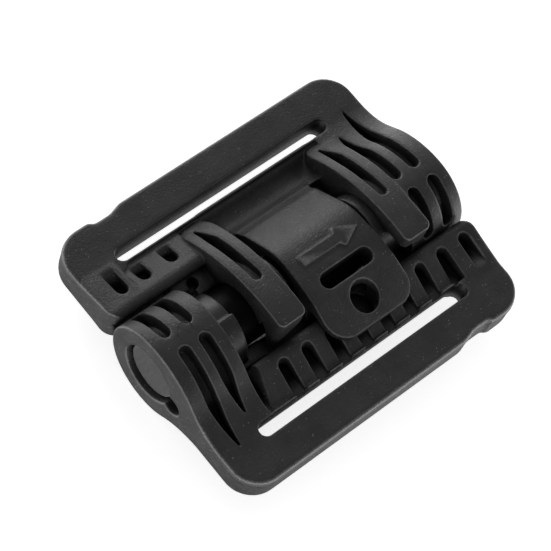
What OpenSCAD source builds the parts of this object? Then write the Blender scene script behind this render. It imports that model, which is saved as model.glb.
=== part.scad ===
// Two-half hinged webbing buckle, 50 mm webbing.
// Units are millimetres.
// Origin: under the middle of the hinge axis, on the plane the barrels rest on.
// X runs along the hinge axis, the front half lies towards -Y, +Z is up.

/* [Frames] */
// Overall length along the hinge axis
frame_w = 68.2; // [66:0.1:74]
// Distance from the hinge axis to the outer edge of either half
half_d = 29.1; // [28.6:0.1:34]
// Thickness of the flat bars
bar_t = 6.4; // [5.6:0.1:7]
// Height of the flat upper face above the hinge axis
bar_top = 2; // [1.6:0.1:2.4]
// Radius of the outer corners
corner_r = 6; // [4:0.1:8]
// Depth of the thumb notch in the outer edge
notch_d = 0.8; // [0.3:0.1:1]

/* [Webbing slots] */
// Length of the webbing slot
slot_l = 50.4; // [49:0.2:53]
// Width of the webbing slot at the top
slot_w = 2.8; // [2.4:0.1:3.2]
// Distance from the hinge axis to the slot centre line
slot_y = 20.65; // [20.45:0.1:20.85]

/* [Barrel ears] */
// Outside radius of the barrel ears
ear_r = 9.9; // [9.6:0.1:10.2]
// Length of each barrel ear
ear_l = 12.8; // [12.4:0.1:13.2]
// Bore diameter of the barrel ears
bore_d = 12; // [11.6:0.1:12.4]
// Diameter of the keyway lobe beside the bore
key_d = 4.2; // [3.6:0.1:4.6]
// Depth of the grooves moulded into the ears
groove_depth = 3; // [1:0.1:3.2]
// Width of the grooves moulded into the ears
groove_w = 2.4; // [1.8:0.1:2.6]

/* [Hooks and tab] */
// Middle of the release tab and of the pair of hooks, along the axis
tab_x = 5.4; // [5:0.1:5.8]
// Distance from the tab middle to the middle of either hook
hook_pitch = 15.25; // [15:0.05:15.6]
// Width of each hook
hook_w = 6.3; // [5.8:0.1:6.5]
// Height of the hook crown above the hinge axis
hook_top = 10.5; // [10.2:0.1:11]
// Diameter of the round hole in the tab
tab_hole_d = 5.8; // [4:0.1:6]
// Radius of the tab crown about the hinge axis
tab_r = 8.6; // [8.4:0.1:9]

/* [Spindle] */
// Radial clearance of the spindle in its bores
run_gap = 0.04; // [0.02:0.01:0.08]
// Radius of the pin's groove in the spindle and half the width across its flats
waist_r = 4.4; // [4:0.1:4.8]
// Outside radius of the stop collar
collar_r = 8; // [7.2:0.1:8.4]

/* [Hidden] */
$fn = 96;
fine = 48;
axis_z = ear_r;
bar_bot = bar_top - bar_t;
side_x = frame_w / 2;
ear_x = side_x - ear_l;
slot_in = slot_y - slot_w / 2;
slot_out = slot_y + slot_w / 2;
slot_draft = 0.5;
bore_r = bore_d / 2;
spindle_r = bore_r - run_gap;
recess = 1;
crown_r = 16.7;
crown_z = ear_r - crown_r;
hollow_r = 12.7;
hollow_z = bar_top + hollow_r;
hollow_y = sqrt(pow(crown_r + hollow_r, 2) - pow(hollow_z - crown_z, 2));
under_r = 14;
under_z = bar_bot - under_r;
under_y = sqrt(pow(ear_r + under_r, 2) - pow(under_z, 2));
crest_y = 11.6;
crest_r = 2;
end_r = 5.6;
ear_gap = 0.7;
pocket_pitch = 5.57;
pocket_first = -13.9;
pocket_w = 2.4;
hook_arc = 31;
hook_arc_y = -4;
hook_arc_z = hook_top - hook_arc;
hook_front = 9.4;
hook_nose = 6.7;
liner_r = 7.4;
seat_r = liner_r + 0.05;
cheek_t = 2.4;
knuckle_y = 15.3;
knuckle_z = -2.6;
knuckle_r = 1.3;
tab_in_r = 6.5;
tip_y = 16.9;
tab_hole_x = 0.4;
tab_hole_y = 12.1;
liner_l = 5.7;
liner_left_x = tab_x - hook_pitch - hook_w / 2 + cheek_t + 0.1;
liner_right_x = tab_x + hook_pitch + hook_w / 2 - cheek_t - 0.1 - liner_l;
tooth_w = 4;
tooth_drop = 2;
tooth_l = 3.2;
tooth_swing = 1.6;
flank_gap = 0.25;
collar_l = 3.95;
collar_x1 = ear_x - 0.25 - collar_l;
pin_d = 2;
flat_angle = -33.5;
pin_x = -27.78;
pin_y = 6.3;
over = 1;
black = [0.09, 0.09, 0.095];
inner_black = [0.13, 0.13, 0.135];
steel = [0.62, 0.63, 0.65];

// Runs a Y-Z profile, measured from the hinge axis, along X.
module along_x(x0, x1) {
  translate([x0, 0, axis_z])
    rotate([90, 0, 90])
      linear_extrude(x1 - x0)
        children();
}

// Slot with round ends, long way across.
module round_slot(length, width) {
  square([length - width, width], center = true);
  for (s = [-1, 1])
    translate([s * (length - width) / 2, 0])
      circle(d = width);
}

// Plan of the flat bars of one half, outer corners rounded.
module bar_plan() {
  inner = slot_in - 0.5;
  translate([-side_x, -half_d + corner_r])
    square([frame_w, half_d - corner_r - inner]);
  translate([-side_x + corner_r, -half_d])
    square([frame_w - 2 * corner_r, corner_r + over]);
  for (s = [-1, 1])
    translate([s * (side_x - corner_r), -half_d + corner_r])
      circle(r = corner_r);
}

// Section of the inner bar: sloping face, round crest, seat for the other half's barrel.
module inner_bar_section() {
  difference() {
    union() {
      polygon([[-slot_in, bar_bot], [-slot_in, bar_top - 1.2], [-crest_y - 0.9, bar_top + 1.9],
               [-crest_y, bar_top], [-9.6, bar_bot]]);
      translate([-crest_y, bar_top + 2.1 - crest_r])
        circle(r = crest_r);
    }
    circle(r = ear_r + ear_gap);
  }
}

// Height of the upper side of the web at y: crown arc, hollow arc, flat bar.
function web_z(y) =
  y > -hollow_y * crown_r / (crown_r + hollow_r) ? crown_z + sqrt(pow(crown_r, 2) - y * y)
  : y > -hollow_y ? hollow_z - sqrt(pow(hollow_r, 2) - pow(y + hollow_y, 2))
  : bar_top;

// Points along the upper side of the web, lowered by d.
function web_line(d) =
  [for (i = [0:16]) let (y = -1.5 - i * (slot_in - 1.6) / 16) [y, web_z(y) - d]];

// Ear and web seen along the axis, lowered by d and filled down to the level of the barrel's foot.
module ear_outline(d) {
  circle(r = ear_r - d);
  polygon(concat([[0, 0], [0, ear_r - d - 0.03]], web_line(d),
                 [[-slot_out, bar_top - d], [-slot_out, -ear_r], [0, -ear_r]]));
}

// Section of a barrel ear with the web running down to the flat bars.
module ear_section() {
  underside = [for (i = [0:10]) let (y = -under_y + i * (under_y - 6.8) / 10)
                 [y, under_z + sqrt(pow(under_r, 2) - pow(y + under_y, 2))]];
  circle(r = ear_r);
  polygon(concat([[0, 0], [0, ear_r - 0.03]], web_line(0), [[-slot_in, bar_bot]],
                 underside, [[-5, -6]]));
}

// Groove with round ends across the back of the barrel, spread about its middle angle.
module barrel_groove(x, middle, spread) {
  difference() {
    translate([x, 0, axis_z])
      rotate([middle - 90, 0, 0])
        linear_extrude(ear_r + over)
          rotate(90)
            round_slot(2 * ear_r * sin(spread) + groove_w, groove_w);
    along_x(x - groove_w, x + groove_w)
      circle(r = ear_r - groove_depth);
  }
}

// Long groove from the crown of an ear down its web, round head and tapering tail.
module web_groove(x, tail_y) {
  head_y = 1.6 + groove_w / 2;
  difference() {
    translate([x, 0, axis_z])
      linear_extrude(ear_r + over) {
        translate([0, -head_y])
          circle(d = groove_w, $fn = fine);
        polygon([[-groove_w / 2, -head_y], [groove_w / 2, -head_y], [groove_w / 2, -0.6 * tail_y],
                 [0.15, -tail_y], [-0.15, -tail_y], [-groove_w / 2, -0.6 * tail_y]]);
      }
    along_x(x - groove_w, x + groove_w)
      ear_outline(groove_depth);
  }
}

// One pocket in the sloping face of the inner bar, open towards the slot or fading out before it.
module pocket(x, end_y, fades) {
  floor_z = bar_top - 1.7;
  out_y = fades ? slot_in + 0.8 : slot_in - 0.1;
  out_z = fades ? bar_top + 0.5 : floor_z;
  near_y = end_y + pocket_w / 2;
  translate([x, -near_y, axis_z + floor_z])
    cylinder(h = 6, d = pocket_w, $fn = fine);
  along_x(x - pocket_w / 2, x + pocket_w / 2)
    polygon([[-out_y, out_z], [-near_y, floor_z], [-near_y, floor_z + 6], [-out_y, floor_z + 6]]);
}

// Thumb notch in the outer edge, sloping in from one side.
module thumb_notch() {
  translate([0, -half_d, 0])
    linear_extrude(40)
      polygon([[18, -over], [18, 0], [20.6, notch_d], [24.3, notch_d], [25.1, 0], [25.1, -over]]);
}

// Rounds the inner corner at the +X end of the inner bar.
module end_corner() {
  r = 3.5;
  translate([side_x - r, -9.6 - r, 0])
    linear_extrude(40)
      difference() {
        square(r + over);
        circle(r = r);
      }
}

// Everything both halves share: bars, slot, ear at -X, grooves, a row of pockets ending at pocket_y.
// The pockets up to open_x open into the slot.
module frame_half(bar_x0, pockets, pocket_y, open_x) {
  difference() {
    union() {
      translate([0, 0, axis_z + bar_bot])
        linear_extrude(bar_t)
          bar_plan();
      along_x(bar_x0, side_x)
        inner_bar_section();
      along_x(slot_l / 2 + 1, side_x)
        polygon([[-slot_y, bar_top], [-crest_y - 0.9, bar_top + 1.9], [-crest_y, bar_top], [-slot_y, 0]]);
      along_x(-side_x, -ear_x)
        ear_section();
    }
    translate([0, -slot_y, 0])
      linear_extrude(40)
        round_slot(slot_l, slot_w);
    along_x(-slot_l / 2 + slot_w / 2, slot_l / 2 - slot_w / 2)
      polygon([[-slot_in - 0.1, bar_top - 1.2], [-slot_in + slot_draft, bar_bot - over],
               [-slot_in - 0.1, bar_bot - over]]);
    along_x(-side_x - over, -ear_x + over)
      circle(r = bore_r);
    along_x(-side_x - over, -side_x + 8)
      translate([-6.9, -0.9])
        circle(d = key_d, $fn = fine);
    for (x = [-30.4, -25.5])
      barrel_groove(x, 50, 24);
    web_groove(-29.7, 20.6);
    web_groove(-25.15, 16.4);
    for (x = pockets)
      pocket(x, pocket_y, x > open_x);
    thumb_notch();
    end_corner();
  }
}

// Curved lip about the hinge axis between two radii and two angles.
module lip(x0, x1, r0, r1, a0, a1) {
  reach = 14;
  mid = (a0 + a1) / 2;
  along_x(x0, x1)
    intersection() {
      difference() {
        circle(r = r1);
        circle(r = r0);
      }
      polygon([[0, 0], [reach * cos(a0), reach * sin(a0)], [reach * cos(mid), reach * sin(mid)],
               [reach * cos(a1), reach * sin(a1)]]);
    }
}

// Trough under the spindle, joined to the inner bar of the front half.
module cradle(x0, x1, inside) {
  top = bar_bot + 3;
  along_x(x0, x1)
    difference() {
      union() {
        intersection() {
          circle(r = ear_r - 0.6);
          polygon([[0, 0], [-20, 0], [-20, -20], [-1, -20]]);
        }
        polygon([[-7, -6], [-12, bar_bot], [-12, top], [-8, top], [-6, top - 3]]);
      }
      circle(r = inside);
    }
}

// Front half: shared frame, troughs under the spindle, room below the tab hole.
module front_frame() {
  color(black)
    difference() {
      union() {
        frame_half(-ear_x, [for (i = [0:8]) pocket_first + i * pocket_pitch], 12.3, slot_l / 2);
        cradle(-ear_x - 0.1, -collar_x1 + 0.1, collar_r + 0.3);
        cradle(-collar_x1, -13.15, bore_r + 0.12);
        cradle(-2.2, 15.2, bore_r + 0.3);
        lip(-13.7, 20.9, bore_r + 0.3, 11.2, 182, 222);
      }
      translate([pin_x, pin_y, 0])
        cylinder(h = axis_z + 5, d = pin_d, $fn = fine);
      translate([tab_x + tab_hole_x, -tab_hole_y, axis_z - 1.5])
        cylinder(h = 8, r = tab_hole_d / 2 + 0.5, $fn = fine);
      translate([0, -slot_in + 0.5, axis_z])
        rotate([90, 0, 180])
          linear_extrude(13)
            polygon([[ear_x, 0.9], [ear_x - 0.9, 0.9], [ear_x - 2.6, bar_top + 1.9],
                     [ear_x - 2.6, 8], [ear_x, 8]]);
    }
}

// Section of a hook: crown arc, nose reaching down to nose_z, jaw under the spindle.
module hook_section(nose_z, inside) {
  difference() {
    intersection() {
      translate([hook_arc_y, hook_arc_z])
        circle(r = hook_arc, $fn = 360);
      union() {
        polygon([[-hook_front, nose_z], [-hook_front, hook_top], [slot_in, hook_top],
                 [slot_in, bar_bot], [10, bar_bot], [0, bar_bot], [0, nose_z]]);
        circle(r = seat_r + 1.7);
      }
    }
    circle(r = inside);
    polygon([[0, 0], [-20, 0.6], [-20, -20], [9.4, -20]]);
    polygon([[-5, nose_z], [-20, nose_z], [-20, 0], [-5, 0]]);
  }
}

// Plan of a hook: half-round rear end, rounded front corners.
module hook_plan() {
  r = 1.3;
  rear_y = 15.6;
  translate([-hook_w / 2, -hook_front + r])
    square([hook_w, rear_y + hook_front - r]);
  translate([-hook_w / 2 + r, -hook_front])
    square([hook_w - 2 * r, r + over]);
  for (s = [-1, 1])
    translate([s * (hook_w / 2 - r), -hook_front + r])
      circle(r = r, $fn = fine);
  translate([0, rear_y])
    circle(d = hook_w);
}

// Front wall of the left hook, its lower edge rising towards the tab.
module hook_apron() {
  outer = -hook_w / 2;
  intersection() {
    along_x(outer, -outer)
      hook_section(0.6, seat_r);
    translate([0, 0, axis_z])
      rotate([90, 0, 0])
        linear_extrude(hook_front + over)
          polygon([[outer, 0], [outer + 1.5, 2], [-outer, 7.5], [-outer, 12], [outer, 12]]);
  }
}

// Hook on side s of the tab: crown beam with an outer cheek.
module hook(s) {
  cheek = [s * (hook_w / 2 - cheek_t), s * hook_w / 2];
  translate([tab_x + s * hook_pitch, 0, 0])
    intersection() {
      union() {
        along_x(-hook_w / 2, hook_w / 2)
          hook_section(hook_nose, seat_r);
        along_x(min(cheek), max(cheek))
          hook_section(hook_nose, bore_r);
        if (s < 0)
          hook_apron();
      }
      linear_extrude(40)
        hook_plan();
    }
}

// Tapering groove in the crown of a hook.
module hook_groove() {
  difference() {
    translate([0, 1.5, axis_z + 1])
      linear_extrude(20) {
        circle(r = 1, $fn = fine);
        polygon([[-1, 0], [1, 0], [0.9, 11], [-0.5, 15], [-0.9, 15], [-1.2, 11]]);
      }
    along_x(-3, 3)
      circle(r = seat_r + 0.75);
  }
}

// Bar between the hooks with the seat for the tab knuckle.
module valley_section() {
  difference() {
    polygon([[slot_in, bar_bot], [slot_in, bar_top - 1.2], [18.1, bar_top - 1.4],
             [16.1, -1.6], [13.7, -2.9], [9.8, -1.6], [8.6, -0.6], [6.4, -0.6], [6.2, -1.6],
             [9.8, -3], [9.8, bar_bot]]);
    translate([knuckle_y, knuckle_z])
      circle(r = knuckle_r + 0.05, $fn = fine);
  }
}

// Rear half: shared frame turned round, hooks, valley and its inner-bar stub.
module rear_frame() {
  color(black)
    difference() {
      union() {
        rotate([0, 0, 180])
          frame_half(12.5, [17.1, 23.4, 28.7], 13.7, 0);
        along_x(tab_x - hook_pitch - 3.3, tab_x + hook_pitch + 3.3)
          valley_section();
        for (s = [-1, 1])
          hook(s);
        lip(-21, -16.9, collar_r + 0.35, 11.2, -18, 10);
        lip(-17, tab_x - hook_pitch - hook_w / 2 + 0.2, bore_r + 0.35, 11.2, -18, 10);
      }
      translate([-16.7, 8.9, axis_z - 1])
        cylinder(h = 5, d = 2.2, $fn = fine);
      for (s = [-1, 1])
        translate([tab_x + s * hook_pitch, 0, 0])
          hook_groove();
      for (x = [liner_left_x, liner_right_x])
        along_x(x - 0.1, x + liner_l + 0.1)
          circle(r = seat_r);
      along_x(tab_x - hook_pitch - 4, side_x + over)
        circle(r = bore_r);
    }
}

// Plan of the tab: slightly flared, rounded tongue corners, slot and hole.
module tab_plan() {
  left_r = 5;
  left_x = -9.5;
  right_r = 3.6;
  right_x = 10.1;
  difference() {
    union() {
      polygon([[left_x, -tip_y + left_r], [-9.2, 0], [-8.6, 20], [8.6, 20], [9.2, 0],
               [right_x, -tip_y + right_r]]);
      translate([left_x + left_r, -tip_y])
        square([right_x - right_r - left_x - left_r, left_r + over]);
      translate([left_x + left_r, -tip_y + left_r])
        circle(r = left_r);
      translate([right_x - right_r, -tip_y + right_r])
        circle(r = right_r);
    }
    translate([tab_hole_x, -6.3])
      round_slot(12, 3.1);
    translate([tab_hole_x, -tab_hole_y])
      circle(d = tab_hole_d);
  }
}

// Section of the tab: knuckle, leg, crown over the spindle, tongue.
module tab_section() {
  difference() {
    union() {
      intersection() {
        circle(r = tab_r);
        translate([-20, 0])
          square([40, 20]);
      }
      polygon([[5.4, 6.7], [10.6, 3], [13.6, -0.6], [14.3, -2], [12.9, -2.4],
               [9, 0], [0, 0]]);
      polygon([[0, tab_r], [-4, tab_r - 0.1], [-9, tab_r - 0.9], [-13, tab_r - 2.6],
               [-tip_y, 4.2], [-tip_y, 2.6], [-12, 4.5], [-9, 4.8], [0, 0]]);
    }
    circle(r = tab_in_r);
  }
  translate([knuckle_y, knuckle_z])
    circle(r = knuckle_r, $fn = fine);
  polygon([[knuckle_y - 0.9, knuckle_z + 0.9], [knuckle_y - 0.2, knuckle_z],
           [knuckle_y, knuckle_z + 1.3], [13.6, -0.6], [12.8, -1]]);
}

// Raised arrow lying on the crown of the tab.
module tab_arrow() {
  intersection() {
    along_x(-8, 8)
      difference() {
        circle(r = tab_r + 0.35);
        circle(r = tab_r - 0.5);
      }
    translate([0, -1, axis_z])
      linear_extrude(20)
        polygon([[-6.6, -1.05], [1.7, -1.05], [2.7, -2.1], [7, 0], [2.7, 2.1], [1.7, 1.05],
                 [-6.6, 1.05]]);
  }
}

// Sprung release tab with its latch tooth and raised arrow.
module release_tab() {
  color(black)
    translate([tab_x, 0, 0]) {
      intersection() {
        along_x(-11, 11)
          tab_section();
        linear_extrude(40)
          tab_plan();
      }
      intersection() {
        tab_arrow();
        linear_extrude(40)
          tab_plan();
      }
      translate([0, tooth_l / 2, axis_z + spindle_r - tooth_drop])
        rotate([90, 0, 0])
          linear_extrude(tooth_l)
            polygon([[-tooth_w / 2, 0], [tooth_w / 2, 0],
                     [tooth_w / 2 + tooth_drop + 1, tooth_drop + 1], [-tooth_w / 2, tooth_drop + 1]]);
    }
}

// Spindle: journals, two lengths with flats, latch notch, groove for the pin.
module spindle() {
  end_x = side_x - recess;
  color(inner_black)
    difference() {
      along_x(-end_x, end_x)
        circle(r = spindle_r);
      for (s = [-1, 1])
        along_x(s * (end_x - 1) - 1.01, s * (end_x - 1) + 1.01)
          difference() {
            circle(r = bore_r + over);
            circle(r = end_r);
          }
      along_x(pin_x - 1.2, pin_x + 1.2)
        difference() {
          circle(r = bore_r + over);
          circle(r = waist_r);
        }
      for (x = [-4.6, 12.2])
        along_x(x, x + 3)
          rotate(flat_angle)
            for (s = [-1, 1])
              translate([s * (waist_r + 4), 0])
                square([8, 20], center = true);
      translate([tab_x, tooth_l / 2 + tooth_swing, axis_z + spindle_r - tooth_drop - 0.2])
        rotate([90, 0, 0])
          linear_extrude(tooth_l + tooth_swing + 2 * flank_gap)
            polygon([[-tooth_w / 2 - flank_gap, 0], [tooth_w / 2 + flank_gap, 0],
                     [tooth_w / 2 + flank_gap + 4, 4], [-tooth_w / 2 - flank_gap, 4]]);
    }
}

// Short collar between the front ear and the left hook.
module stop_collar() {
  color(inner_black)
    along_x(-ear_x + 0.15, -ear_x + 0.15 + collar_l)
      difference() {
        circle(r = collar_r);
        circle(r = spindle_r);
        difference() {
          polygon([[0, 0], [-1.8, 12], [12, 12], [12, -3]]);
          circle(r = spindle_r + 0.7);
        }
      }
}

// Steel pin that keeps the spindle in the front ear.
module retaining_pin() {
  color(steel)
    translate([pin_x, pin_y, 2.4])
      cylinder(h = axis_z + 2.4, d = pin_d, $fn = fine);
}

// Open C-shaped liner of a hook.
module liner(x0) {
  color(inner_black)
    along_x(x0, x0 + liner_l)
      difference() {
        circle(r = liner_r);
        circle(r = bore_r);
        polygon([[0, 0], [-20, 0.6], [-20, -20], [9.4, -20]]);
      }
}

// Liner of the left hook, standing proud on the tab side.
module liner_left() {
  liner(liner_left_x);
}

// Liner of the right hook, standing proud on the tab side.
module liner_right() {
  liner(liner_right_x);
}

front_frame();
rear_frame();
release_tab();
spindle();
stop_collar();
retaining_pin();
liner_left();
liner_right();
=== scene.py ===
import bpy, bmesh, math
import numpy as np
import openvdb as vdb
from mathutils import Matrix, Vector


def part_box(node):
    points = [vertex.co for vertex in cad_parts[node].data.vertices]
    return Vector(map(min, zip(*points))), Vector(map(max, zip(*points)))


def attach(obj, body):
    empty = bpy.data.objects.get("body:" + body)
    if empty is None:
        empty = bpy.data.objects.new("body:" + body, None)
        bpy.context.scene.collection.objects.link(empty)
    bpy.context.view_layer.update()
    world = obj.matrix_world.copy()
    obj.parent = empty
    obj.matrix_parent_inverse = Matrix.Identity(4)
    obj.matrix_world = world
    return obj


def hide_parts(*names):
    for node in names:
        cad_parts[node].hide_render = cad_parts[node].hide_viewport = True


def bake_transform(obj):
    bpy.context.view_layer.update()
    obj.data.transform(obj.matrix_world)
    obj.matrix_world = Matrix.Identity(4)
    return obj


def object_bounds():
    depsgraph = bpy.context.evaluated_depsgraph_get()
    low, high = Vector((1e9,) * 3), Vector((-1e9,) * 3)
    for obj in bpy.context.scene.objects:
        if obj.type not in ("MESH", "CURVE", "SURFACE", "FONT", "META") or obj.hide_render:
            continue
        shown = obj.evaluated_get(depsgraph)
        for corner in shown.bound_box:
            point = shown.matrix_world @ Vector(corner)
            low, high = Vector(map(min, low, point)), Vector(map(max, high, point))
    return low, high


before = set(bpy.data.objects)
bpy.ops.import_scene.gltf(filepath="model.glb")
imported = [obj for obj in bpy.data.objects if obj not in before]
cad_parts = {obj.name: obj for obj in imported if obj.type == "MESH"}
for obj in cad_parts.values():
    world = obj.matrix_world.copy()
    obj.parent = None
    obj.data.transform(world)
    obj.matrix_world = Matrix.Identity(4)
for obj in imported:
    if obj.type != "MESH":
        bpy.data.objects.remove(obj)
CAD_LO, CAD_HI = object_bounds()
MM = 0.001
TAB_LO, TAB_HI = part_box("release_tab")
TAB_X = (TAB_LO.x + TAB_HI.x) / 2
AXIS_Z = sum(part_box("spindle")[i].z for i in (0, 1)) / 2
SLOT_Y = 20.65 * MM             # middle of the webbing slot
BAR_TOP = AXIS_Z + 2.0 * MM     # upper face of the flat bars
SEAM_Z = BAR_TOP - 1.3 * MM     # where the two halves of the mould met

# The valley behind the tab: half its width, its middle and length, its foot measured from the
# hinge axis and its rise from there, and the centre and radius of the hollow in its upper side.
VALLEY_HALF = 11.8 * MM
VALLEY_Y, VALLEY_LENGTH = 15.8 * MM, 6.8 * MM
VALLEY_FOOT, VALLEY_RISE = -3.8 * MM, 4.8 * MM
SWEEP_Y, SWEEP_Z, SWEEP_R = 15.9 * MM, 3.55 * MM, 4.5 * MM

VOXEL = 0.15 * MM     # of the moulded skins
COARSE = 0.3 * MM     # of the field that tells hollows from open faces
BAND = 12.0           # reach of the distance fields, in voxels
PAD = 8               # empty voxels round a field
EDGE_PASSES, RIM_PASSES, HOLLOW_PASSES = 3, 7, 50   # blurs of edges, outer rims and surroundings
FLATTENING = 0.02     # how readily flat stretches become larger faces
FILLET = 1.5 * MM     # where the tab meets the rear half
VALLEY_FILLET = 1.0 * MM
SEAM_RISE, SEAM_WIDTH = 0.45, 0.16 * MM   # the rise is in voxels
SEAM_EASE = 2 * MM    # over which the seam comes up beyond the slot
# The soft rim starts RIM_END in from the ends and RIM_EDGE out from the slot, over RIM_EASE.
RIM_END, RIM_EDGE, RIM_EASE = 3.2 * MM, 3.5 * MM, 2 * MM
BARREL_Y, BARREL_EASE = 12 * MM, 3 * MM   # the ends of the barrels, short of this, keep their edges
END_SHARE = 0.7       # of the rim's softness at the ends


# ---------- moulded surfaces ----------

def blurred(field, passes):
    """Three-voxel box blur along each axis in turn, repeated until it is close to a Gaussian."""
    for _ in range(passes):
        for axis in range(3):
            n = field.shape[axis]
            padded = np.pad(field, [(1, 1) if k == axis else (0, 0) for k in range(3)], mode="edge")
            cut = [slice(None)] * 3
            total = np.zeros_like(field)
            for offset in range(3):
                cut[axis] = slice(offset, offset + n)
                total += padded[tuple(cut)]
            field = total * np.float32(1 / 3)
    return field


def extent(lo, hi, voxel):
    """Corner and shape of a grid round a box, with empty voxels on every side."""
    origin = np.array(lo) - PAD * voxel
    return origin, tuple(int(math.ceil((hi[k] - lo[k]) / voxel)) + 2 * PAD for k in range(3))


def places_along(field, origin, voxel, axis):
    """Where the samples of a field lie along an axis."""
    return np.arange(field.shape[axis]) * voxel + origin[axis]


def distance_field(node, voxel, lo, shape):
    """Signed distance of a node's closed mesh on a dense grid, in voxels, clipped to the band."""
    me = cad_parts[node].data
    me.calc_loop_triangles()
    co = np.empty(len(me.vertices) * 3, np.float32)
    me.vertices.foreach_get("co", co)
    tri = np.empty(len(me.loop_triangles) * 3, np.int32)
    me.loop_triangles.foreach_get("vertices", tri)
    points = (co.reshape(-1, 3) - lo) / voxel
    triangles = tri.reshape(-1, 3)
    grid = vdb.FloatGrid.createLevelSetFromPolygons(points, triangles=triangles, halfWidth=BAND)
    field = np.full(shape, BAND, np.float32)
    grid.copyToArray(field)
    return field


def smooth_union(a, b, reach):
    """Union of two fields with a fillet where they meet; reach is in voxels."""
    h = np.maximum(reach - np.abs(a - b), 0)
    return np.minimum(a, b) - h * h / (4 * reach)


def sampled(field, points):
    """Value of the field at points given in voxels, between the samples by straight lines."""
    base = np.clip(np.floor(points).astype(int), 0, np.array(field.shape) - 2)
    t = (points - base).astype(np.float32)
    total = np.zeros(len(points), np.float32)
    for corner in range(8):
        bit = [(corner >> k) & 1 for k in range(3)]
        weight = np.prod([t[:, k] if bit[k] else 1 - t[:, k] for k in range(3)], axis=0)
        total += weight * field[tuple(base[:, k] + bit[k] for k in range(3))]
    return total


def slope(field, points):
    """Unit direction in which the field grows, at points given in voxels."""
    parts = []
    for k in range(3):
        step = np.zeros(3)
        step[k] = 1
        parts.append(sampled(field, points + step) - sampled(field, points - step))
    normals = np.stack(parts, axis=1)
    return normals / np.maximum(np.linalg.norm(normals, axis=1, keepdims=True), 1e-9)


def eased(value, start, width):
    """0 up to start, 1 from start + width on, and a straight rise between."""
    return np.clip((value - start) / width, 0, 1)


def seam(field, origin, voxel):
    """Raises a fine ridge round the upright walls where the two halves of the mould met."""
    z = (places_along(field, origin, voxel, 2) - SEAM_Z) / SEAM_WIDTH
    y = np.abs(places_along(field, origin, voxel, 1))
    ridge = np.exp(-z * z).astype(np.float32)[None, None, :]
    outside = eased(y, SLOT_Y, SEAM_EASE).astype(np.float32)[None, :, None]
    return field - SEAM_RISE * ridge * outside


def rounded_rims(field, origin, voxel):
    """Blurs the field further towards the outer corners and outer edges of the bars only."""
    x, y = (np.abs(places_along(field, origin, voxel, k)) for k in (0, 1))
    ends = eased(x, CAD_HI.x - RIM_END, RIM_EASE)[:, None, None]
    off_barrel = eased(y, BARREL_Y, BARREL_EASE)[None, :, None]
    edges = eased(y, SLOT_Y + RIM_EDGE, RIM_EASE)[None, :, None]
    share = np.maximum(END_SHARE * ends * off_barrel, edges).astype(np.float32)
    return field + share * (blurred(field, RIM_PASSES) - field)


def surroundings():
    """Blurred distance field of the buckle at rest, low where solids crowd, and its corner."""
    origin, shape = extent(CAD_LO, CAD_HI, COARSE)
    field = np.full(shape, BAND, np.float32)
    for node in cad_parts:
        field = np.minimum(field, distance_field(node, COARSE, origin, shape))
    return blurred(np.maximum(field, -BAND), HOLLOW_PASSES), origin


def hollowness(places):
    """How deep in a hollow each place lies, in mm: the solid round it outweighs the air."""
    field, origin = AROUND
    return -sampled(field, (places - origin) / COARSE) * COARSE / MM


def valley_fill(field, origin, voxel):
    """Closes the bottom of the valley behind the tab with one hollow sweep between the hooks."""
    x, y, z = (places_along(field, origin, voxel, k) for k in range(3))
    lap = 1.0 * MM   # into the hooks on either side
    centre_z = AXIS_Z + VALLEY_FOOT + VALLEY_RISE / 2
    out_x = np.abs(x - TAB_X)[:, None, None] - VALLEY_HALF - lap
    out_y = (np.abs(y - VALLEY_Y) - VALLEY_LENGTH / 2)[None, :, None]
    out_z = (np.abs(z - centre_z) - VALLEY_RISE / 2)[None, None, :]
    away = np.sqrt((y - SWEEP_Y)[:, None] ** 2 + (z - AXIS_Z - SWEEP_Z)[None, :] ** 2)
    sweep = (SWEEP_R - away)[None]
    fill = np.maximum(np.maximum(out_x, out_y), np.maximum(out_z, sweep)) / voxel
    return smooth_union(field, np.minimum(fill, BAND).astype(np.float32), VALLEY_FILLET / voxel)


def joined(nodes, origin, shape):
    """Distance field of one node, or of the rear half and the tab as one moulding."""
    field = distance_field(nodes[0], VOXEL, origin, shape)
    for other in nodes[1:]:
        field = smooth_union(field, distance_field(other, VOXEL, origin, shape), FILLET / VOXEL)
        field = valley_fill(field, origin, VOXEL)
    return field


def skin_mesh(name, nodes, rims=False, inset=0.0):
    """One smooth closed mesh round the nodes' solids, marked with how far its edges were rounded
    off, which pales them partly as abrasion and partly as a painted highlight, and how deep in a
    hollow each point lies, where shade is painted; rims softens the outer edges and adds the seam."""
    boxes = [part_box(n) for n in nodes]
    lo = [min(b[0][k] for b in boxes) for k in range(3)]
    hi = [max(b[1][k] for b in boxes) for k in range(3)]
    origin, shape = extent(lo, hi, VOXEL)
    sharp = joined(nodes, origin, shape)
    soft = blurred(sharp, EDGE_PASSES)
    if rims:
        soft = seam(rounded_rims(soft, origin, VOXEL), origin, VOXEL)
    grid = vdb.FloatGrid(BAND)
    grid.copyFromArray(soft + np.float32(inset / VOXEL), tolerance=1e-4)
    points, triangles, quads = grid.convertToPolygons(isovalue=0.0, adaptivity=FLATTENING)
    places = points * VOXEL + origin
    # the first mark pales edges, partly as a painted highlight; the second sets where shade is
    # painted
    marks = {"wear_and_highlight": -sampled(sharp, points) * VOXEL / MM, "hollow": hollowness(places)}
    return built(name, triangles, quads, places, slope(soft, points), marks)


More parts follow.
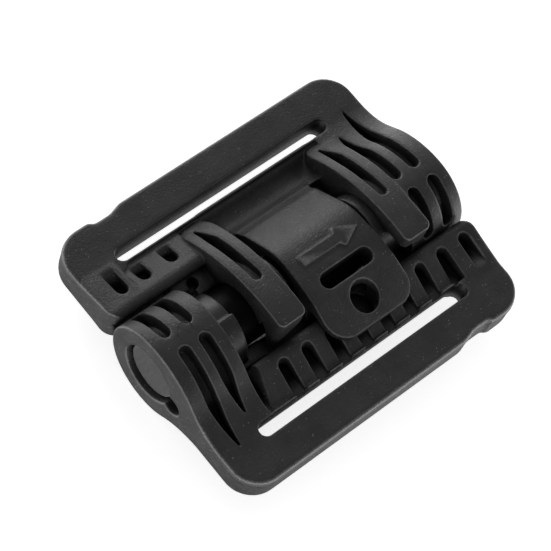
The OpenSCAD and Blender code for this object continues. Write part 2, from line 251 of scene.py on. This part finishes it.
def built(name, triangles, quads, places, normals, marks):
    """Mesh from arrays, with its own normals, and with the marks as attributes in mm."""
    me = bpy.data.meshes.new(name)
    me.vertices.add(len(places))
    me.vertices.foreach_set("co", places.astype(np.float32).ravel())
    corners = np.concatenate([triangles.ravel(), quads.ravel()]).astype(np.int32)
    me.loops.add(corners.size)
    me.loops.foreach_set("vertex_index", corners)
    starts = [np.arange(len(triangles)) * 3, 3 * len(triangles) + np.arange(len(quads)) * 4]
    me.polygons.add(len(triangles) + len(quads))
    me.polygons.foreach_set("loop_start", np.concatenate(starts).astype(np.int32))
    me.update(calc_edges=True)
    for mark, values in marks.items():
        attribute = me.attributes.new(mark, "FLOAT", "POINT")
        attribute.data.foreach_set("value", values.astype(np.float32))
    lie = me.attributes.new("lie", "FLOAT_VECTOR", "POINT")
    lie.data.foreach_set("vector", normals.astype(np.float32).ravel())
    return me


def with_normals(me):
    """Gives the mesh the normals in its lie attribute; Blender works out those that are zero."""
    me.shade_smooth()
    kept = np.empty(len(me.vertices) * 3, np.float32)
    me.attributes["lie"].data.foreach_get("vector", kept)
    me.normals_split_custom_set_from_vertices(kept.reshape(-1, 3))
    me.attributes.remove(me.attributes["lie"])


def placed(me, material, slot, *nodes):
    obj = bpy.data.objects.new(me.name, me)
    bpy.context.scene.collection.objects.link(obj)
    me.materials.append(material)
    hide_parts(*nodes)
    return obj


def moulded(name, node, body, material, slot, rims=False, inset=0.0):
    """The node's solid with its edges rounded and its corners filleted, as a moulding has them."""
    me = skin_mesh(name, [node], rims=rims, inset=inset)
    with_normals(me)
    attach(placed(me, material, slot, node), body)


def parted(me, x_lo, x_hi, y_hi):
    """Cuts a mesh at two planes across X into what is between them short of y_hi, and the rest."""
    whole = bmesh.new()
    whole.from_mesh(me)
    for x in (x_lo, x_hi):
        everything = whole.verts[:] + whole.edges[:] + whole.faces[:]
        bmesh.ops.bisect_plane(whole, geom=everything, plane_co=(x, 0, 0), plane_no=(1, 0, 0))
    results = []
    for keep_inner in (True, False):
        bm = whole.copy()
        gone = []
        for face in bm.faces:
            centre = face.calc_center_median()
            inner = x_lo < centre.x < x_hi and centre.y < y_hi
            if inner != keep_inner:
                gone.append(face)
        bmesh.ops.delete(bm, geom=gone, context="FACES")
        rim = [e for e in bm.edges if e.is_boundary]
        caps = bmesh.ops.holes_fill(bm, edges=rim, sides=0)["faces"]
        bmesh.ops.triangulate(bm, faces=caps)
        part = bpy.data.meshes.new(me.name)
        bm.to_mesh(part)
        bm.free()
        results.append(part)
    whole.free()
    return results


def rear_half_and_tab(material):
    """The rear half and its tab are one moulding, which bends in the valley between the hooks; its
    skin is cut there into the tab and the rest.
    """
    whole = skin_mesh("tab_skin", ["rear_frame", "release_tab"], rims=True)
    middle = TAB_X
    tab, rear = parted(whole, middle - VALLEY_HALF, middle + VALLEY_HALF, SLOT_Y)
    rear.name = "rear_shell"
    for me in (tab, rear):
        with_normals(me)
    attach(placed(rear, material, "shell_black", "rear_frame"), "rear_half")
    tab_obj = placed(tab, material, "shell_black", "release_tab")
    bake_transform(tab_obj)


def closed_piece(name, bm, material, body):
    """A finished mesh that rides on a body."""
    me = bpy.data.meshes.new(name)
    bmesh.ops.recalc_face_normals(bm, faces=bm.faces)
    bm.to_mesh(me)
    bm.free()
    me.shade_smooth()
    me.set_sharp_from_angle(angle=math.radians(50))
    me.materials.append(material)
    obj = bpy.data.objects.new(name, me)
    bpy.context.scene.collection.objects.link(obj)
    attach(obj, body)


# ---------- marks on the mouldings ----------

def crown(y):
    """Height of the tab's crown above the axis at y, in mm: a barrel, then a gentle fall."""
    radius, fall = 8.6, 0.025
    return math.sqrt(radius ** 2 - y * y) if y > 0 else radius + fall * y


def arrow(material):
    """Crisp raised arrow that follows the crown of the tab; its sizes are in millimetres."""
    back, neck, barb, tip, shaft, wide = -6.6, 1.7, 2.7, 7.0, 1.05, 2.1
    middle_y, rise, depth, rounding, slice_width = -1.0, 0.38, 0.25, 0.07, 0.25
    edge_wear_and_highlight, upright, creased = 0.16, 1.0, 0.3   # abrasion and painted highlight of its edges; angles that count as edges
    bm = bmesh.new()
    outline = [(back, -shaft), (neck, -shaft), (barb, -wide), (tip, 0),
               (barb, wide), (neck, shaft), (back, shaft)]
    face = bm.faces.new([bm.verts.new((x, y + middle_y, 0)) for x, y in outline])
    bmesh.ops.triangulate(bm, faces=[face])
    for i in range(-12, 6):
        everything = bm.verts[:] + bm.edges[:] + bm.faces[:]
        cut_at = (0, i * slice_width, 0)
        bmesh.ops.bisect_plane(bm, geom=everything, plane_co=cut_at, plane_no=(0, 1, 0))
    top = bmesh.ops.extrude_face_region(bm, geom=bm.faces[:])["geom"]
    raised = {v for v in top if isinstance(v, bmesh.types.BMVert)}
    for v in bm.verts:
        v.co.z = crown(v.co.y) + (rise if v in raised else -depth)
    bmesh.ops.recalc_face_normals(bm, faces=bm.faces)
    rim = [e for e in bm.edges if set(e.verts) <= raised and e.calc_face_angle(0) > upright]
    bmesh.ops.bevel(bm, geom=rim, offset=rounding, segments=2, affect="EDGES")
    for v in bm.verts:
        v.co = Vector((TAB_X, 0, AXIS_Z)) + v.co * MM
    # pale edges on the arrow, partly abrasion and partly a painted highlight
    wear_and_highlight = bm.verts.layers.float.new("wear_and_highlight")
    for v in bm.verts:
        v[wear_and_highlight] = edge_wear_and_highlight if any(e.calc_face_angle(0) > creased for e in v.link_edges) else 0.0
    closed_piece("arrow", bm, material, "tab")


def ring(name, at, diameter, material, body, barrel_r=math.inf):
    """Faint round witness mark of an ejector pin, on a flat face or over the crown of a barrel."""
    bm = bmesh.new()
    around, across = 64, 8
    half_width, rise = 0.09 * MM, 0.05 * MM
    loops = []
    for i in range(around):
        a = math.tau * i / around
        out = Vector((math.cos(a), math.sin(a), 0))
        drop = (out.y * diameter / 2) ** 2 / (2 * barrel_r)
        loop = []
        for k in range(across):
            b = math.tau * k / across
            up = Vector((0, 0, rise * math.sin(b) - drop))
            loop.append(bm.verts.new(at + out * (diameter / 2 + half_width * math.cos(b)) + up))
        loops.append(loop)
    for i in range(around):
        for k in range(across):
            n, m = (i + 1) % around, (k + 1) % across
            bm.faces.new((loops[i][k], loops[n][k], loops[n][m], loops[i][m]))
    closed_piece(name, bm, material, body)


def ejector_marks(material):
    """Three marks on the front outer bar, placed from its left outer corner, and one on the ear."""
    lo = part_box("front_frame")[0]
    for i, (x, y, diameter) in enumerate(((6.2, 3.5, 3.6), (34.2, 3.4, 2.3), (62.4, 3.8, 3.4))):
        at = Vector((lo.x + x * MM, lo.y + y * MM, BAR_TOP))
        ring("ejector_mark_%d" % (i + 1), at, diameter * MM, material, "front_half")
    ear_r = AXIS_Z   # the barrels rest on the floor
    crest = Vector((lo.x + 6.9 * MM, 0.3 * MM, AXIS_Z + ear_r))
    ring("ejector_mark_4", crest, 3.3 * MM, material, "front_half", ear_r)


# ---------- materials ----------

class Shader:
    """A node material under construction."""

    def __init__(self, name):
        self.material = bpy.data.materials.new(name)
        self.material.use_nodes = True
        self.tree = self.material.node_tree
        self.surface = self.tree.nodes["Principled BSDF"]
        self.place = self.tree.nodes.new("ShaderNodeTexCoord").outputs["Object"]

    def link(self, source, target):
        self.tree.links.new(source, target)

    def noise(self, scale, detail=2.0, roughness=0.5):
        """Cloudy noise; scale is in cells per metre."""
        n = self.tree.nodes.new("ShaderNodeTexNoise")
        n.inputs["Scale"].default_value = scale
        n.inputs["Detail"].default_value = detail
        n.inputs["Roughness"].default_value = roughness
        self.link(self.place, n.inputs["Vector"])
        return n.outputs["Fac"]

    def specks(self, scale):
        """Distance to scattered points, scale in points per metre."""
        n = self.tree.nodes.new("ShaderNodeTexVoronoi")
        n.inputs["Scale"].default_value = scale
        self.link(self.place, n.inputs["Vector"])
        return n.outputs["Distance"]

    def attribute(self, name):
        n = self.tree.nodes.new("ShaderNodeAttribute")
        n.attribute_name = name
        return n.outputs["Fac"]

    def inside(self, half_length):
        """1 where the distance from the middle along X is less than half_length, else 0."""
        split = self.tree.nodes.new("ShaderNodeSeparateXYZ")
        self.link(self.place, split.inputs[0])
        return self.maths("LESS_THAN", self.maths("ABSOLUTE", split.outputs["X"], 0), half_length)

    def spread(self, value, from_lo, from_hi, to_lo=0.0, to_hi=1.0):
        """Value moved from one range to another, held at its ends."""
        n = self.tree.nodes.new("ShaderNodeMapRange")
        for socket, number in zip(n.inputs[1:5], (from_lo, from_hi, to_lo, to_hi)):
            socket.default_value = number
        self.link(value, n.inputs["Value"])
        return n.outputs["Result"]

    def maths(self, operation, a, b):
        n = self.tree.nodes.new("ShaderNodeMath")
        n.operation = operation
        for socket, x in zip(n.inputs, (a, b)):
            if isinstance(x, (int, float)):
                socket.default_value = x
            else:
                self.link(x, socket)
        return n.outputs["Value"]

    def mixed(self, share, a, b):
        """Colour a turning into colour b."""
        n = self.tree.nodes.new("ShaderNodeMix")
        n.data_type = "RGBA"
        self.link(share, n.inputs[0])
        for socket, x in ((n.inputs[6], a), (n.inputs[7], b)):
            if isinstance(x, tuple):
                socket.default_value = (*x, 1)
            else:
                self.link(x, socket)
        return n.outputs[2]

    def bump(self, height, strength, depth):
        n = self.tree.nodes.new("ShaderNodeBump")
        n.inputs["Strength"].default_value = strength
        n.inputs["Distance"].default_value = depth
        self.link(height, n.inputs["Height"])
        self.link(n.outputs["Normal"], self.surface.inputs["Normal"])


def grey(value):
    return (value, value, value)


def rubbed_and_highlit(m, base, texture):
    """Base colour gone pale where 0.03 to 0.14 mm of an edge is rounded off, most on high texture:
    partly abrasion, partly a painted highlight along the edges.
    """
    # painted highlight mixed with real abrasion: a pale grey along rounded edges
    edge = grey(0.15)
    worn_and_highlit = m.spread(m.attribute("wear_and_highlight"), 0.03, 0.14)
    return m.mixed(m.maths("MULTIPLY", worn_and_highlit, m.spread(texture, 0.35, 0.6, 0.35, 1.0)), base, edge)


def dusted(m, base):
    """Base colour with pale specks that gather in loose clouds."""
    dust, cover = grey(0.22), 0.8
    specks = m.spread(m.specks(1300), 0.2, 0.06)
    clouds = m.spread(m.noise(420), 0.48, 0.6)
    return m.mixed(m.maths("MULTIPLY", m.maths("MULTIPLY", specks, clouds), cover), base, dust)


def nylon(name, dark, light, rough, grain, shade_within=0.0):
    """Glass-filled nylon: spark-eroded texture, mottling between two greys, edges pale from
    abrasion and a painted highlight, dust, and
    painted shade: hollows near black with dulled reflection. Short of a given distance from the
    middle along X it is all painted as dark as a hollow."""
    # painted shade: the near-black colour and the low specular level given to hollows
    shadow, open_shine, shaded_shine, texture_depth = grey(0.003), 0.5, 0.06, 0.12 * MM
    m = Shader(name)
    mottle = m.noise(170, detail=5, roughness=0.6)
    texture = m.noise(2300, detail=3, roughness=0.65)
    base = m.mixed(m.spread(mottle, 0.3, 0.7), grey(dark), grey(light))
    surface = dusted(m, rubbed_and_highlit(m, base, texture))
    # painted shade: the deeper a point lies among the solids, the nearer black it is painted and
    # the less it reflects
    deep = m.spread(m.attribute("hollow"), 0.1, 0.5)
    # painted shade over the whole middle of the shaft, between its open ends
    if shade_within:
        deep = m.maths("MAXIMUM", deep, m.inside(shade_within))
    m.link(m.mixed(deep, surface, shadow), m.surface.inputs["Base Color"])
    m.link(m.spread(deep, 0.0, 1.0, open_shine, shaded_shine), m.surface.inputs["Specular IOR Level"])
    m.link(m.spread(texture, 0.3, 0.7, rough - 0.08, rough + 0.1), m.surface.inputs["Roughness"])
    m.bump(texture, grain, texture_depth)
    return m.material


def ground_steel(name):
    """Pin stock: bright, with fine lines round it."""
    m = Shader(name)
    lines = m.noise(900, detail=3)
    m.surface.inputs["Metallic"].default_value = 1.0
    m.link(m.mixed(m.noise(300), grey(0.5), grey(0.64)), m.surface.inputs["Base Color"])
    m.link(m.spread(lines, 0.3, 0.7, 0.22, 0.38), m.surface.inputs["Roughness"])
    m.bump(lines, 0.15, 0.02 * MM)
    return m.material


# ---------- scene ----------

def camera(target, heading, elevation, roll, distance, lens):
    """Camera looking at target; heading turns from +Y towards +X, roll turns the picture."""
    th, e, r = (math.radians(a) for a in (heading, elevation, roll))
    fwd = Vector((math.sin(th) * math.cos(e), math.cos(th) * math.cos(e), -math.sin(e)))
    right = Vector((math.cos(th), -math.sin(th), 0))
    up = right.cross(fwd)
    x = right * math.cos(r) + up * math.sin(r)
    y = up * math.cos(r) - right * math.sin(r)
    cam = bpy.data.objects.new("camera", bpy.data.cameras.new("camera"))
    cam.data.lens = lens
    cam.data.sensor_width = 36
    cam.data.clip_start = 0.01
    turn = Matrix((x, y, -fwd)).transposed().to_4x4()
    cam.matrix_world = Matrix.Translation(target - fwd * distance) @ turn
    bpy.context.scene.collection.objects.link(cam)
    bpy.context.scene.camera = cam


def soft_box(name, at, size, power):
    """Round soft light that faces the object."""
    light = bpy.data.lights.new(name, "AREA")
    light.shape = "DISK"
    light.size = size
    light.energy = power
    o = bpy.data.objects.new(name, light)
    o.location = at
    o.rotation_mode = "QUATERNION"
    o.rotation_quaternion = Vector(at).to_track_quat("Z", "Y")
    bpy.context.scene.collection.objects.link(o)


def tent():
    """World as bright as a light tent: strong round the horizon, dim overhead, dark below."""
    world = bpy.data.worlds.new("tent")
    bpy.context.scene.world = world
    world.use_nodes = True
    nodes, links = world.node_tree.nodes, world.node_tree.links
    place = nodes.new("ShaderNodeTexCoord")
    split = nodes.new("ShaderNodeSeparateXYZ")
    links.new(place.outputs["Generated"], split.inputs[0])
    height = nodes.new("ShaderNodeMapRange")
    for socket, number in zip(height.inputs[1:5], (-1, 1, 0, 1)):
        socket.default_value = number
    links.new(split.outputs["Z"], height.inputs["Value"])
    ramp = nodes.new("ShaderNodeValToRGB")
    while len(ramp.color_ramp.elements) < len(TENT):
        ramp.color_ramp.elements.new(1.0)
    for element, (rise, bright) in zip(ramp.color_ramp.elements, TENT):
        element.position = (rise + 1) / 2
        element.color = (bright, bright, bright, 1)
    links.new(height.outputs["Result"], ramp.inputs["Fac"])
    back = nodes["Background"]
    links.new(ramp.outputs["Color"], back.inputs["Color"])
    back.inputs["Strength"].default_value = DOME


def studio():
    """White sweep with a glow that lights nothing else, in a light tent with soft boxes."""
    bpy.ops.mesh.primitive_plane_add(size=3, location=(0, 0, CAD_LO.z))
    floor = bpy.context.object
    floor.name = "floor"
    m = bpy.data.materials.new("floor")
    m.use_nodes = True
    surface = m.node_tree.nodes["Principled BSDF"]
    surface.inputs["Base Color"].default_value = (0.85, 0.85, 0.85, 1)
    surface.inputs["Roughness"].default_value = 0.9
    surface.inputs["Emission Color"].default_value = (1, 1, 1, 1)
    surface.inputs["Emission Strength"].default_value = FLOOR_GLOW
    floor.data.materials.append(m)
    floor.visible_diffuse = False
    floor.visible_glossy = False
    tent()
    soft_box("key", KEY_AT, BOX_SIZE, KEY)
    soft_box("top", TOP_AT, BOX_SIZE, TOP)
    bpy.context.scene.view_settings.view_transform = "Standard"


# The place the camera looks at, its angles in degrees, its distance, and its focal length in mm.
LOOK_AT = Vector((-2.84, 1.54, 10.95)) * MM
HEADING, ELEVATION, ROLL = 63.2, 61.7, 26
DISTANCE, LENS = 429.4 * MM, 154
# Strengths of the lights, and where the soft boxes hang, in metres.
FLOOR_GLOW, DOME, KEY, TOP = 0.75, 1.0, 1.5, 0.3
KEY_AT, TOP_AT, BOX_SIZE = (0.28, 0.60, 0.35), (0.05, 0.10, 0.7), 0.4
# Brightness of the tent by height: -1 is straight below, 0 the horizon and 1 overhead.
TENT = (-0.85, 0.0), (-0.6, 3.0), (-0.1, 3.1), (0.15, 0.95), (0.5, 0.34), (1.0, 0.14)

# The spindle shows only its end discs in the open; the rest lies deep between the hooks, and there
# it is painted as dark as shade.
SHADED_SHAFT_HALF = CAD_HI.x - 3 * MM
RUN_GAP = 0.06 * MM   # taken off the spindle, so that its skin turns clear of the bores

shell = nylon("shell_black", dark=0.011, light=0.03, rough=0.46, grain=1.0)
inner = nylon("spindle_black", dark=0.012, light=0.02, rough=0.42, grain=0.12)
shaft = nylon("shaft_black_painted_shade", dark=0.012, light=0.02, rough=0.42, grain=0.12, shade_within=SHADED_SHAFT_HALF)
steel = ground_steel("pin_steel")
for node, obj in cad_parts.items():
    obj.data.materials.clear()
    obj.data.materials.append(steel if node == "retaining_pin" else inner)

AROUND = surroundings()
moulded("front_shell", "front_frame", "front_half", shell, "shell_black", rims=True)
moulded("spindle_skin", "spindle", "spindle_set", shaft, "spindle_black", inset=RUN_GAP)
moulded("collar_skin", "stop_collar", "spindle_set", inner, "spindle_black")
moulded("liner_left_skin", "liner_left", "rear_half", inner, "liner_black")
moulded("liner_right_skin", "liner_right", "rear_half", inner, "liner_black")
rear_half_and_tab(shell)
arrow(shell)
ejector_marks(shell)

studio()
camera(LOOK_AT, HEADING, ELEVATION, ROLL, DISTANCE, LENS)
